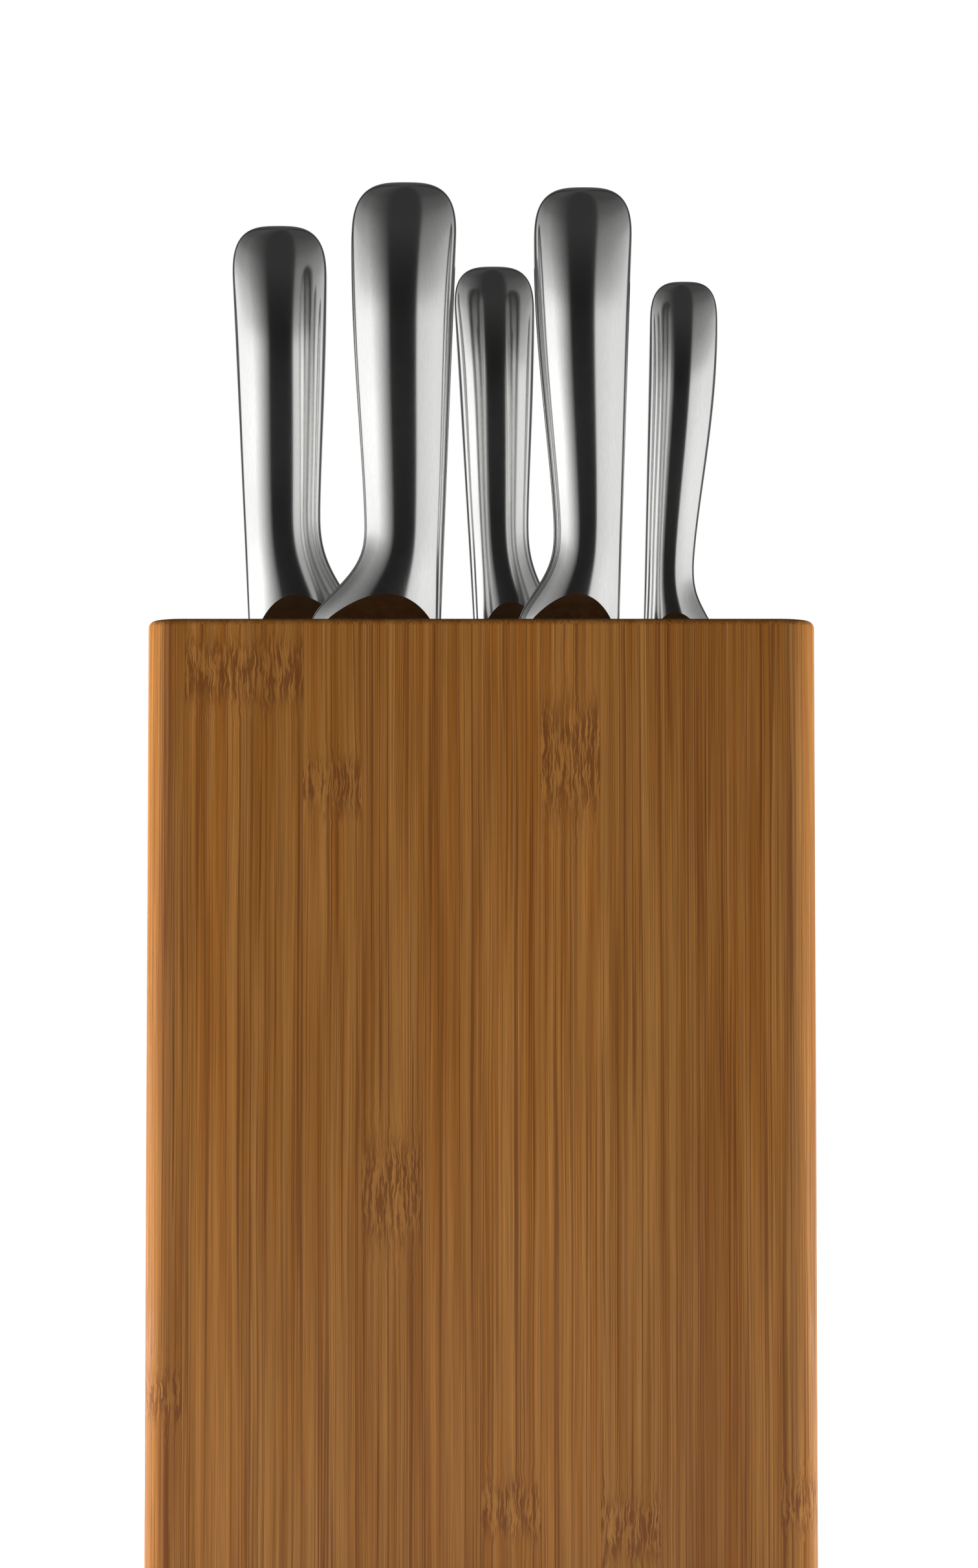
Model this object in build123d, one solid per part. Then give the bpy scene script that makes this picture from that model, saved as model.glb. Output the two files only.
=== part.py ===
from build123d import *
import os
from dataclasses import dataclass
from math import hypot, pi, sin

# A counter-top knife block of laminated bamboo that holds five hollow-handled steel knives upright.
# Six bamboo boards stand face to face, front to back. Two of the joints between them are held open
# by thin spacer strips, and the gaps between the strips are the knife slots. A base plate closes the
# slots from below and stands on four screwed-on rubber feet.
# Each knife is one blade whose tang runs up into the handle, two pressed half shells welded round it,
# and a light core that fills the handle. The handle's foot is wider than the slot, so it rests on top.
#
# Sizes are millimetres. The origin is on the worktop under the middle of the block. +Z is up, +X is
# right as seen from the front, and the front of the block looks towards -Y.

# ---- block ----
BLOCK_WIDTH = 180.0
BLOCK_TOP = 270.0  # height of the top face above the worktop
CORNER_RADIUS = 10.0  # upright corners
EDGE_ROUND = 2.0  # round on the outer top and bottom edges
FACE_BOARD = 12.0  # thickness of the two outside boards
INNER_BOARD = 12.0
CENTRE_BOARD = 14.0
SLOT_GAP = 3.6  # thickness of a spacer strip, so the width of every slot
SLOT_SIDE_CLEARANCE = 1.2  # between a blade's heel or spine and the strip beside it
MOUTH_CHAMFER = 0.6
BASE_PLATE = 10.0

ROW = CENTRE_BOARD + SLOT_GAP / 2  # distance of each row of slots from the middle plane
INNER_FACE = CENTRE_BOARD + SLOT_GAP  # slot side of an inner board
FACE_JOINT = INNER_FACE + INNER_BOARD  # joint between an inner and a face board
BLOCK_DEPTH = 2 * (FACE_JOINT + FACE_BOARD)

# ---- feet and screws ----
FOOT_RADIUS = 8.0
FOOT_HEIGHT = 3.0
FOOT_X, FOOT_Y = 70.0, 19.0
FOOT_EDGE = 0.5
FOOT_WELL_RADIUS, FOOT_WELL_DEPTH = 4.4, 1.7
FOOT_SCREW_RADIUS, FOOT_SCREW_HEAD_RADIUS, FOOT_SCREW_HEAD = 1.75, 3.5, 1.3
FOOT_SCREW_REACH = 8.0  # how far it goes into the base plate
BASE_SCREW_X = 46.0
BASE_SCREW_RADIUS, BASE_SCREW_HEAD_RADIUS = 2.0, 4.0
BASE_SCREW_REACH = 18.0  # how far it goes into a centre board
HOLE_CLEARANCE = 0.05  # round each screw, so that turned faces never share a surface
DRIVE_RADIUS, DRIVE_DEPTH = 1.2, 0.8  # hexagon recess in every screw head

FLOOR = FOOT_HEIGHT  # underside of the wood
SLOT_FLOOR = FLOOR + BASE_PLATE

# ---- knives ----
OVAL_POWER = 2.15  # handle section: 2 is an ellipse, and more is squarer
BUTT_POWER = 3.1  # the rounding of the butt, seen from the front
CROWN_LENGTH = 22.0  # how far below that rounding the handle starts to thin, seen from the side
CROWN_POWER = 2.2
EASE_POWER = 1.4  # how the handle widens from waist to butt
FLARE_POWER = 1.4  # how late the foot flares out towards the blade
SHELL_WALL = 1.4
SOLID_FOOT = 16.0  # the handle is solid below this height
CORE_CLEARANCE = 0.7
CORE_TOP_SHARE = 0.7  # how far up into the rounding of the butt the core reaches
FOOT_HALF_THICKNESS = 3.6  # of the handle's foot, which spans the slot
CAP_SHARE = 0.3  # the loft ends in a flat this share of the butt's width
SECTION_GAP = 3.0  # the nearest a section may be to the start of a form
EDGE_HALF_THICKNESS = 0.12  # of a blade along its cutting edge
TANG_WIDTH = 7.0
SECTION_POINTS = 28


@dataclass
class Knife:
    """One knife. u is measured from the spine's foot towards the cutting edge, h up from the block's top."""

    name: str
    row: float  # y of the blade's middle plane
    spine_x: float  # x of the spine at the block's top
    side: int  # +1 if the cutting edge looks right, -1 if left
    handle: float  # height of the handle above the block
    lean: float  # change of the spine's u for each millimetre of height
    waist_h: float
    waist_u: float
    butt_h: float
    butt_u: float
    flare: float  # how far the foot reaches past the waist
    waist_half: float  # half thickness at the waist
    butt_half: float  # half thickness at the butt
    bevel_h: float  # top of the bevel on each side of the foot
    blade: float  # length of the blade
    blade_width: float
    thickness: float
    tip_u: float
    spine_straight: float  # share of the blade's length before the spine drops to the tip
    tang: float
    scallops: int = 0

    def x(self, u):
        return self.spine_x + self.side * u

    def z(self, h):
        return BLOCK_TOP + h


KNIVES = (
    Knife("bread_knife", ROW, -65.4, 1, 117.0, -0.049, 36.0, 20.1, 99.3, 21.7, 12.4, 7.2, 9.2, 11.5,
          205.0, 33.5, 2.0, 26.0, 0.93, 70.0, 18),
    Knife("chef_knife", -ROW, -11.1, -1, 123.2, -0.039, 28.0, 21.1, 105.0, 24.8, 14.7, 7.5, 9.6, 8.5,
          200.0, 38.5, 2.3, 15.0, 0.55, 75.0),
    Knife("utility_knife", ROW, -2.1, 1, 105.4, -0.060, 33.0, 15.4, 90.4, 17.0, 9.0, 6.3, 8.0, 9.6,
          130.0, 25.5, 1.8, 15.0, 0.60, 60.0),
    Knife("carving_knife", -ROW, 37.8, -1, 121.8, -0.034, 27.0, 18.0, 105.0, 23.4, 9.8, 7.2, 9.4, 8.5,
          200.0, 28.8, 2.0, 19.0, 0.70, 75.0),
    Knife("paring_knife", ROW, 45.4, 1, 101.1, 0.023, 20.0, 14.4, 88.4, 21.2, 5.8, 5.6, 7.4, 6.8,
          90.0, 20.6, 1.6, 14.0, 0.50, 55.0),
)


# ---- small helpers ----
def block_of(x0, x1, y0, y1, z0, z1):
    """A box between two corners."""
    middle = ((x0 + x1) / 2, (y0 + y1) / 2, (z0 + z1) / 2)
    return Pos(*middle) * Box(x1 - x0, y1 - y0, z1 - z0)


def upright(x, y, z, radius, height):
    """A cylinder that stands on height z."""
    return Pos(x, y, z + height / 2) * Cylinder(radius, height)


def hexagon_recess(x, y, z):
    """The drive recess of a screw head whose face is at height z."""
    recess = extrude(RegularPolygon(DRIVE_RADIUS, 6), DRIVE_DEPTH)
    return Pos(x, y, z) * recess


def prism_across(points, x0, x1):
    """A prism along X over an outline given as (y, z) points."""
    outline = Polyline(*[(x0, y, z) for y, z in points], close=True)
    return extrude(make_face(outline), x1 - x0, dir=(1, 0, 0))


# ---- block ----
def envelope():
    """The whole wooden body: a box with rounded upright corners and softened outer edges."""
    half_x, half_y = BLOCK_WIDTH / 2, BLOCK_DEPTH / 2
    body = block_of(-half_x, half_x, -half_y, half_y, FLOOR, BLOCK_TOP)
    body = fillet(body.edges().filter_by(Axis.Z), CORNER_RADIUS)
    rims = body.faces().sort_by(Axis.Z)
    return fillet(rims[-1].edges() + rims[0].edges(), EDGE_ROUND)


def slot_span(knife):
    """The two ends in X of the slot that this knife stands in."""
    ends = sorted((knife.x(-SLOT_SIDE_CLEARANCE), knife.x(knife.blade_width + SLOT_SIDE_CLEARANCE)))
    return ends[0], ends[1]


def slot_mouth(knife):
    """The wedge that chamfers one slot's four top edges."""
    x0, x1 = slot_span(knife)
    lower = Pos((x0 + x1) / 2, knife.row, BLOCK_TOP - MOUTH_CHAMFER) * Rectangle(x1 - x0, SLOT_GAP)
    grow = 2 * MOUTH_CHAMFER
    upper = Pos((x0 + x1) / 2, knife.row, BLOCK_TOP) * Rectangle(x1 - x0 + grow, SLOT_GAP + grow)
    return loft([lower.face(), upper.face()], ruled=True)


def base_screw_places():
    y = CENTRE_BOARD / 2
    return [(x, s * y) for x in (-BASE_SCREW_X, BASE_SCREW_X) for s in (-1, 1)]


def foot_places():
    return {
        f"foot_{end}_{hand}": (sx * FOOT_X, sy * FOOT_Y)
        for end, sy in (("front", -1), ("back", 1))
        for hand, sx in (("left", -1), ("right", 1))
    }


def screw_holes(radius, z, height, places):
    """Holes a hair wider than the screws that go up through them."""
    return [upright(x, y, z, radius + HOLE_CLEARANCE, height) for x, y in places]


def boards(body, mouths):
    """The six upright boards, front to back."""
    far = BLOCK_WIDTH
    half_y = BLOCK_DEPTH / 2
    spans = {
        "front_face_board": (-half_y, -FACE_JOINT, FLOOR),
        "front_inner_board": (-FACE_JOINT, -INNER_FACE, SLOT_FLOOR),
        "centre_front_board": (-CENTRE_BOARD, 0, SLOT_FLOOR),
        "centre_back_board": (0, CENTRE_BOARD, SLOT_FLOOR),
        "back_inner_board": (INNER_FACE, FACE_JOINT, SLOT_FLOOR),
        "back_face_board": (FACE_JOINT, half_y, FLOOR),
    }
    made = {}
    for name, (y0, y1, z0) in spans.items():
        board = body & block_of(-far, far, y0, y1, z0, BLOCK_TOP)
        made[name] = board - mouths if "face" not in name else board
    holes = screw_holes(BASE_SCREW_RADIUS, SLOT_FLOOR, BASE_SCREW_REACH + 1, base_screw_places())
    for name in ("centre_front_board", "centre_back_board"):
        made[name] = made[name] - holes
    return made


def spacers(body, mouths):
    """The strips that keep the two slot joints open, each row named from left to right."""
    names = {
        -ROW: ("front_left_spacer", "front_middle_spacer", "front_right_spacer"),
        ROW: ("back_left_spacer", "back_second_spacer", "back_third_spacer", "back_right_spacer"),
    }
    made = {}
    for row, strip_names in names.items():
        slots = sorted(slot_span(k) for k in KNIVES if k.row == row)
        edges = [-BLOCK_WIDTH, *[x for slot in slots for x in slot], BLOCK_WIDTH]
        y0, y1 = row - SLOT_GAP / 2, row + SLOT_GAP / 2
        for i, name in enumerate(strip_names):
            strip = body & block_of(edges[2 * i], edges[2 * i + 1], y0, y1, SLOT_FLOOR, BLOCK_TOP)
            made[name] = strip - mouths
    return made


def base_plate(body):
    """The plate between the two face boards, with holes for both kinds of screw."""
    plate = body & block_of(-BLOCK_WIDTH, BLOCK_WIDTH, -FACE_JOINT, FACE_JOINT, FLOOR, SLOT_FLOOR)
    shank = screw_holes(BASE_SCREW_RADIUS, FLOOR - 1, BASE_PLATE + 2, base_screw_places())
    sunk = [
        Pos(x, y, FLOOR + BASE_SCREW_HEAD_RADIUS / 2 - BASE_SCREW_RADIUS / 2)
        * Cone(
            BASE_SCREW_HEAD_RADIUS + HOLE_CLEARANCE,
            BASE_SCREW_RADIUS + HOLE_CLEARANCE,
            BASE_SCREW_HEAD_RADIUS - BASE_SCREW_RADIUS,
        )
        for x, y in base_screw_places()
    ]
    pilots = screw_holes(FOOT_SCREW_RADIUS, FLOOR - 1, FOOT_SCREW_REACH + 1.5, foot_places().values())
    return plate - shank - sunk - pilots


def base_screws():
    """Four countersunk wood screws that hold the base plate to the centre boards."""
    head = BASE_SCREW_HEAD_RADIUS - BASE_SCREW_RADIUS
    made = []
    for x, y in base_screw_places():
        cone = Pos(x, y, FLOOR + head / 2) * Cone(BASE_SCREW_HEAD_RADIUS, BASE_SCREW_RADIUS, head)
        shank = upright(x, y, FLOOR + head / 2, BASE_SCREW_RADIUS, BASE_PLATE + BASE_SCREW_REACH - head / 2)
        shank = chamfer(shank.edges().sort_by(Axis.Z)[-1], BASE_SCREW_RADIUS * 0.8)
        made.append(cone + shank - hexagon_recess(x, y, FLOOR))
    return Compound(children=made)


def rubber_foot(x, y):
    """A round foot with a well in its underside that hides its screw's head."""
    foot = upright(x, y, 0, FOOT_RADIUS, FOOT_HEIGHT)
    foot = fillet(foot.edges().sort_by(Axis.Z)[0], FOOT_EDGE)
    well = upright(x, y, -1, FOOT_WELL_RADIUS, FOOT_WELL_DEPTH + 1)
    return foot - well - upright(x, y, 0, FOOT_SCREW_RADIUS + HOLE_CLEARANCE, FOOT_HEIGHT + 1)


def foot_screws():
    """Four pan-head screws, one up through each foot."""
    made = []
    head_z = FOOT_WELL_DEPTH - FOOT_SCREW_HEAD
    reach = FOOT_HEIGHT + FOOT_SCREW_REACH
    for x, y in foot_places().values():
        head = upright(x, y, head_z, FOOT_SCREW_HEAD_RADIUS, FOOT_SCREW_HEAD)
        head = fillet(head.edges().sort_by(Axis.Z)[0], FOOT_SCREW_HEAD * 0.6)
        shank = upright(x, y, FOOT_WELL_DEPTH - 0.5, FOOT_SCREW_RADIUS, reach - FOOT_WELL_DEPTH + 0.5)
        shank = chamfer(shank.edges().sort_by(Axis.Z)[-1], FOOT_SCREW_RADIUS * 0.8)
        made.append(head + shank - hexagon_recess(x, y, head_z))
    return Compound(children=made)


# ---- knife handles ----
def spine_u(knife, h):
    """The spine side of the handle is one straight line."""
    return knife.lean * h


def edge_u(knife, h):
    """The edge side widens slowly from waist to butt, and flares towards the blade below the waist."""
    if h < knife.waist_h:
        down = (knife.waist_h - h) / knife.waist_h
        return knife.waist_u + knife.flare * sin(pi / 2 * down**FLARE_POWER) ** 2
    up = min(1.0, (h - knife.waist_h) / (knife.butt_h - knife.waist_h))
    return knife.waist_u + (knife.butt_u - knife.waist_u) * sin(pi / 2 * up) ** EASE_POWER


def half_thickness(knife, h):
    """The handle thickens from its waist to the start of its crown."""
    rise = knife.butt_h - CROWN_LENGTH / 2 - knife.waist_h
    up = min(1.0, max(0.0, (h - knife.waist_h) / rise))
    return knife.waist_half + (knife.butt_half - knife.waist_half) * up * up * (3 - 2 * up)


def rounding(h, foot, top, power):
    """1 up to the foot of the rounding, shrinking to CAP_SHARE at the top along a superellipse."""
    q = min(1.0, max(0.0, (h - foot) / (top - foot)))
    return (1 - q**power * (1 - CAP_SHARE**power)) ** (1 / power)


def handle_section(knife, h, inset, top):
    """The oval section at height h, drawn in by inset on every side."""
    width = (edge_u(knife, h) - spine_u(knife, h)) / 2 - inset
    width *= rounding(h, knife.butt_h, top, BUTT_POWER)
    depth = half_thickness(knife, h) - inset
    depth *= rounding(h, knife.butt_h - CROWN_LENGTH, top, CROWN_POWER)
    middle = (edge_u(knife, h) + spine_u(knife, h)) / 2
    points = []
    for i in range(SECTION_POINTS):
        turn = 2 * pi * i / SECTION_POINTS
        c, s = sin(turn + pi / 2), sin(turn)
        share = (abs(c) ** OVAL_POWER + abs(s) ** OVAL_POWER) ** (-1 / OVAL_POWER)
        points.append((knife.x(middle + width * share * c), knife.row + depth * share * s, knife.z(h)))
    return Face(Wire([Spline(*points, periodic=True)]))


def handle_heights(knife, start, top):
    """Where the sections are, closer together in the flare, the crown and the rounding of the butt."""
    waist, butt = knife.waist_h, knife.butt_h
    crown = butt - CROWN_LENGTH
    flare = [waist * share for share in (0, 0.12, 0.25, 0.38, 0.52, 0.66, 0.82, 1)]
    body = [waist + (crown - waist) * share for share in (0.33, 0.67, 1)]
    thinning = [crown + CROWN_LENGTH * share for share in (0.4, 0.7, 1)]
    cap = [butt + (top - butt) * share for share in (0.35, 0.6, 0.8, 0.92, 1)]
    inside = [h for h in flare + body + thinning + cap if h > start + SECTION_GAP]
    return [start, *inside]


def handle_body(knife, start, inset):
    """The handle's oval form from height start up to its butt, drawn in by inset."""
    top = knife.handle - inset
    return loft([handle_section(knife, h, inset, top) for h in handle_heights(knife, start, top)])


def core_body(knife):
    """The filling: the hollow's own sections drawn in a little further, joined by straight flanks."""
    top = knife.handle - SHELL_WALL
    highest = knife.butt_h + CORE_TOP_SHARE * (top - knife.butt_h)
    heights = [h for h in handle_heights(knife, SOLID_FOOT, top) if h < highest]
    heights[0] += CORE_CLEARANCE
    inset = SHELL_WALL + CORE_CLEARANCE
    return loft([handle_section(knife, h, inset, top) for h in heights], ruled=True)


def foot_bevels(knife):
    """Two wedges that bevel the handle's foot from its full thickness down to the blade."""
    rise = knife.bevel_h / (knife.waist_half - FOOT_HALF_THICKNESS)
    reach = 4 * knife.butt_half
    outline = [(FOOT_HALF_THICKNESS, -1), (reach, -1), (reach, rise * (reach - FOOT_HALF_THICKNESS)),
               (FOOT_HALF_THICKNESS, 0)]
    ends = sorted((knife.x(-reach), knife.x(knife.blade_width + reach)))
    return [
        prism_across([(knife.row + s * y, knife.z(h)) for y, h in outline], *ends)
        for s in (-1, 1)
    ]


def tang(knife):
    """The straight tongue of the blade that runs up inside the handle."""
    half = knife.thickness / 2
    u = (edge_u(knife, knife.waist_h) - TANG_WIDTH) / 2
    x0, x1 = sorted((knife.x(u), knife.x(u + TANG_WIDTH)))
    return block_of(x0, x1, knife.row - half, knife.row + half, knife.z(0), knife.z(knife.tang))


def handle_parts(knife):
    """The two half shells and the core between them, round the tang."""
    outer = handle_body(knife, 0, 0) - foot_bevels(knife)
    hollow = handle_body(knife, SOLID_FOOT, SHELL_WALL)
    shell = outer - hollow - tang(knife)
    far = BLOCK_WIDTH
    front_half = block_of(-far, far, knife.row - far, knife.row, BLOCK_TOP - 1, 2 * BLOCK_TOP)
    back_half = block_of(-far, far, knife.row, knife.row + far, BLOCK_TOP - 1, 2 * BLOCK_TOP)
    return {
        f"{knife.name}_front_shell": shell & front_half,
        f"{knife.name}_back_shell": shell & back_half,
        f"{knife.name}_core": core_body(knife) - tang(knife),
    }


# ---- blades ----
def blade_outline(knife):
    """The blade's profile: a straight spine that drops to the tip, and an edge with one long belly."""
    y = knife.row - knife.thickness / 2
    heel_drop = 2.5
    width, length, tip = knife.blade_width, knife.blade, knife.tip_u
    drop = knife.spine_straight * length

    def at(u, down):
        return (knife.x(u), y, knife.z(-down))

    foot_edge = edge_u(knife, 0)
    edges = [
        Line(at(foot_edge, 0), at(0, 0)),
        Line(at(0, 0), at(0, drop)),
        Bezier(at(0, drop), at(0, (drop + length) / 2), at(tip * 0.6, 0.97 * length), at(tip, length)),
        Bezier(at(tip, length), at(width - 0.3 * (width - tip), 0.9 * length), at(width, 0.66 * length),
               at(width, heel_drop)),
        Line(at(width, heel_drop), at(foot_edge, 0)),
    ]
    return make_face(Wire(edges))


def grind(knife):
    """Two wedges that thin the blade from the middle of its width to the cutting edge."""
    half = knife.thickness / 2
    start, end = 0.3 * knife.blade_width, knife.blade_width
    slope = (half - EDGE_HALF_THICKNESS) / (end - start)
    beyond = end + 5
    outline = [(start, half), (beyond, half - slope * (beyond - start)), (beyond, half + 2), (start, half + 2)]
    wedges = []
    for s in (-1, 1):
        corners = [(knife.x(u), knife.row + s * t, knife.z(-knife.blade - 5)) for u, t in outline]
        wedge = make_face(Polyline(*corners, close=True))
        wedges.append(extrude(wedge, knife.blade + 5, dir=(0, 0, 1)))
    return wedges


def scallops(knife):
    """Round cutters along the edge that leave a row of teeth between them."""
    depth = 1.3
    first, last = 14.0, 0.86 * knife.blade
    pitch = (last - first) / max(1, knife.scallops)
    radius = (pitch**2 / 4 + depth**2) / (2 * depth)
    out = knife.blade_width + radius - depth
    wheel = Rot(90, 0, 0) * Cylinder(radius, 4 * knife.thickness)
    return [
        Pos(knife.x(out), knife.row, knife.z(-first - pitch * (i + 0.5))) * wheel
        for i in range(knife.scallops)
    ]


def blade(knife):
    """Blade and tang in one piece."""
    body = extrude(blade_outline(knife), knife.thickness, dir=(0, 1, 0)) - grind(knife)
    if knife.scallops:
        body = body - scallops(knife)
    return body + tang(knife)


# ---- everything ----
def all_parts():
    body = envelope()
    mouths = [slot_mouth(k) for k in KNIVES]
    parts = {
        **boards(body, mouths),
        **spacers(body, mouths),
        "base_plate": base_plate(body),
        "base_screws": base_screws(),
        "foot_screws": foot_screws(),
    }
    for name, (x, y) in foot_places().items():
        parts[name] = rubber_foot(x, y)
    for knife in KNIVES:
        parts[f"{knife.name}_blade"] = blade(knife)
        parts.update(handle_parts(knife))
    return parts


os.makedirs("parts", exist_ok=True)
for part_name, shape in all_parts().items():
    export_step(shape, f"parts/{part_name}.step")
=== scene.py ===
from math import cos, pi, radians, sin
import bpy
import numpy as np
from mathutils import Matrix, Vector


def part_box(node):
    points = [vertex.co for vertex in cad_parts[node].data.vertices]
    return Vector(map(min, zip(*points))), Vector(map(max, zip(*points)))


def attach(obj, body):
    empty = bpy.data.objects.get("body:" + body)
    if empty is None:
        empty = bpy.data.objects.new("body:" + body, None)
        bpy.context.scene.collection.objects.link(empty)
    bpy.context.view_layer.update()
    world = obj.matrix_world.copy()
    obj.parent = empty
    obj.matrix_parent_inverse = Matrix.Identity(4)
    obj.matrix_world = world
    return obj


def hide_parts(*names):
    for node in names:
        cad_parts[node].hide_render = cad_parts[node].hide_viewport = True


bl_info = {
    "name": "Bamboo Knife Block",
    "version": (1, 0, 0),
    "blender": (4, 5, 0),
    "location": "View3D > Sidebar > Knife Block",
    "description": "Makes the bamboo boards and the steel knives of an upright knife block",
    "category": "Add Mesh",
}

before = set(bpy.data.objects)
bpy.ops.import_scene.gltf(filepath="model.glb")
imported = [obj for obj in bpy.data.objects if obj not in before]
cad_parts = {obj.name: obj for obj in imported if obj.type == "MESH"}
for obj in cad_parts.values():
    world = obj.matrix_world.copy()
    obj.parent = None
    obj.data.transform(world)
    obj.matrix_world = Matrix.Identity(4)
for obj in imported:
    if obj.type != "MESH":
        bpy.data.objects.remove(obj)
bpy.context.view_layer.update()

MM = 0.001

# ---- where the block is, read from the frame, in millimetres ----
FACE_LOW, FACE_HIGH = (np.array(corner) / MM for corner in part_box("front_face_board"))
BACK_LOW, BACK_HIGH = (np.array(corner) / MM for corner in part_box("back_face_board"))
BLOCK_TOP = FACE_HIGH[2]
HALF_WIDTH = FACE_HIGH[0]
HALF_DEPTH = BACK_HIGH[1]
CORNER_RADIUS = 10.0
EDGE_ROUND = 2.0
MOUTH_CHAMFER = 0.6

# ---- knife handles ----
OVAL_POWER = 2.15
BUTT_POWER = 3.1
EASE_POWER = 1.4
FLARE_POWER = 1.4
FOOT_HALF_THICKNESS = 3.6
CREASE_STEPS = 12
LOWEST_CREASE = 0.3
HEEL_TAPER = 0.3
CROWN_LENGTH = 22.0
CROWN_POWER = 2.2

KNIVES = {
    "bread_knife": dict(
        side=1, spine_x=-65.4, lean=-0.049, handle=117.0, waist_h=36.0, waist_u=20.1, butt_h=99.3,
        butt_u=21.7, flare=12.4, waist_half=7.2, butt_half=9.2, bevel_h=11.5, blade=205.0,
        blade_width=33.5, thickness=2.0, tip_u=26.0, straight=0.93, tang=70.0, scallops=18,
    ),
    "chef_knife": dict(
        side=-1, spine_x=-11.1, lean=-0.039, handle=123.2, waist_h=28.0, waist_u=21.1, butt_h=105.0,
        butt_u=24.8, flare=14.7, waist_half=7.5, butt_half=9.6, bevel_h=8.5, blade=200.0,
        blade_width=38.5, thickness=2.3, tip_u=15.0, straight=0.55, tang=75.0, scallops=0,
    ),
    "utility_knife": dict(
        side=1, spine_x=-2.1, lean=-0.060, handle=105.4, waist_h=33.0, waist_u=15.4, butt_h=90.4,
        butt_u=17.0, flare=9.0, waist_half=6.3, butt_half=8.0, bevel_h=9.6, blade=130.0,
        blade_width=25.5, thickness=1.8, tip_u=15.0, straight=0.60, tang=60.0, scallops=0,
    ),
    "carving_knife": dict(
        side=-1, spine_x=37.8, lean=-0.034, handle=121.8, waist_h=27.0, waist_u=18.0, butt_h=105.0,
        butt_u=23.4, flare=9.8, waist_half=7.2, butt_half=9.4, bevel_h=8.5, blade=200.0,
        blade_width=28.8, thickness=2.0, tip_u=19.0, straight=0.70, tang=75.0, scallops=0,
    ),
    "paring_knife": dict(
        side=1, spine_x=45.4, lean=0.023, handle=101.1, waist_h=20.0, waist_u=14.4, butt_h=88.4,
        butt_u=21.2, flare=5.8, waist_half=5.6, butt_half=7.4, bevel_h=6.8, blade=90.0,
        blade_width=20.6, thickness=1.6, tip_u=14.0, straight=0.50, tang=55.0, scallops=0,
    ),
}
TANG_WIDTH = 7.0
FLOOR_RADIUS = 3000.0
FLOOR_THICKNESS = 40.0
FLOOR_DROP = 0.02  # below the feet, so that nothing shares a surface with the floor

# ---- lamps: only the wood and the floor see them ----
OVERHEAD_PLACE = (-0.3, -0.5, 1.9)
OVERHEAD_SIZE = (2.4, 2.0)
OVERHEAD_ENERGY = 1.0
SIDE_LAMPS = ((-110, 32.0), (108, 20.0))  # compass degrees from the camera's side, and energy
SIDE_LAMP_DISTANCE = 1.2
SIDE_LAMP_HEIGHT = 0.14
SIDE_LAMP_SIZE = (0.25, 0.24)

# ---- how finely the curved parts are divided ----
HANDLE_SHARP = radians(9)  # an edge that turns by more than this stays crisp
BLADE_SHARP = radians(25)
BELOW_CREASE, ABOVE_CREASE = 10, 16
BODY_RINGS, CAP_RINGS = 46, 54


# ---------------------------------------------------------------- settings
def colour(label, words, default):
    return bpy.props.FloatVectorProperty(
        name=label, description=words, default=default, subtype="COLOR", size=3, min=0.0, max=1.0
    )


def length(label, words, default):
    return bpy.props.FloatProperty(
        name=label, description=words, default=default, unit="LENGTH", subtype="DISTANCE", min=0.0
    )


def factor(label, words, default, top=1.0):
    return bpy.props.FloatProperty(
        name=label, description=words, default=default, subtype="FACTOR", min=0.0, max=top
    )


class BambooSettings(bpy.types.PropertyGroup):
    """What the wood of the block looks like."""

    mid: colour("Ground", "Colour between the fibres", (0.290, 0.107, 0.015))
    light: colour("Pale Ground", "Paler patches of the ground", (0.372, 0.163, 0.037))
    fibre: colour("Fibre", "Colour of the dark fibre bundles", (0.105, 0.024, 0.003))
    strip_width: length("Strip Width", "Width of one glued bamboo strip", 0.0159)
    tone_spread: factor("Tone Spread", "How much one strip's tone differs from the next", 0.16)
    arris: length("Arris", "Rounding of the edges between boards", 0.00025)
    roughness: factor("Roughness", "Roughness of the oiled wood", 0.40)


class SteelSettings(bpy.types.PropertyGroup):
    """What the knives look like."""

    handle: colour("Handle Steel", "Reflected colour of the handles", (0.72, 0.72, 0.71))
    blade: colour("Blade Steel", "Reflected colour of the blades", (0.66, 0.66, 0.65))
    satin: factor("Satin", "Roughness of the satin handles", 0.13)
    ring: bpy.props.IntProperty(
        name="Points Round", description="Points round each handle", default=144, min=24, max=256
    )


class StudioSettings(bpy.types.PropertyGroup):
    """The camera, the floor and the soft light."""

    lens: bpy.props.FloatProperty(
        name="Lens", description="Focal length of the camera in millimetres", default=103.13
    )
    distance: length("Distance", "From the camera to the block's front face", 1.2)
    eye_height: length("Eye Height", "Height of the camera above the worktop", 0.15)
    eye_side: length("Eye Side", "How far right of the middle the camera stands", 0.00208)
    pitch: bpy.props.FloatProperty(
        name="Pitch", description="Upward tilt of the camera", default=radians(3.594), subtype="ANGLE"
    )
    floor: colour("Floor", "Colour of the floor", (0.90, 0.90, 0.89))
    floor_glow: factor("Floor Glow", "How much light comes up through the pale floor", 0.9, 2.0)


# ---------------------------------------------------------------- meshes
def ring_quads(rows, columns):
    """Quads of a grid of rings. Each ring runs anticlockwise seen from the side of the last row."""
    r = np.arange(rows - 1)[:, None] * columns
    c = np.arange(columns)[None, :]
    after = (c + 1) % columns
    return np.stack([r + c, r + after, r + after + columns, r + c + columns], axis=-1).reshape(-1, 4)


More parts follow.
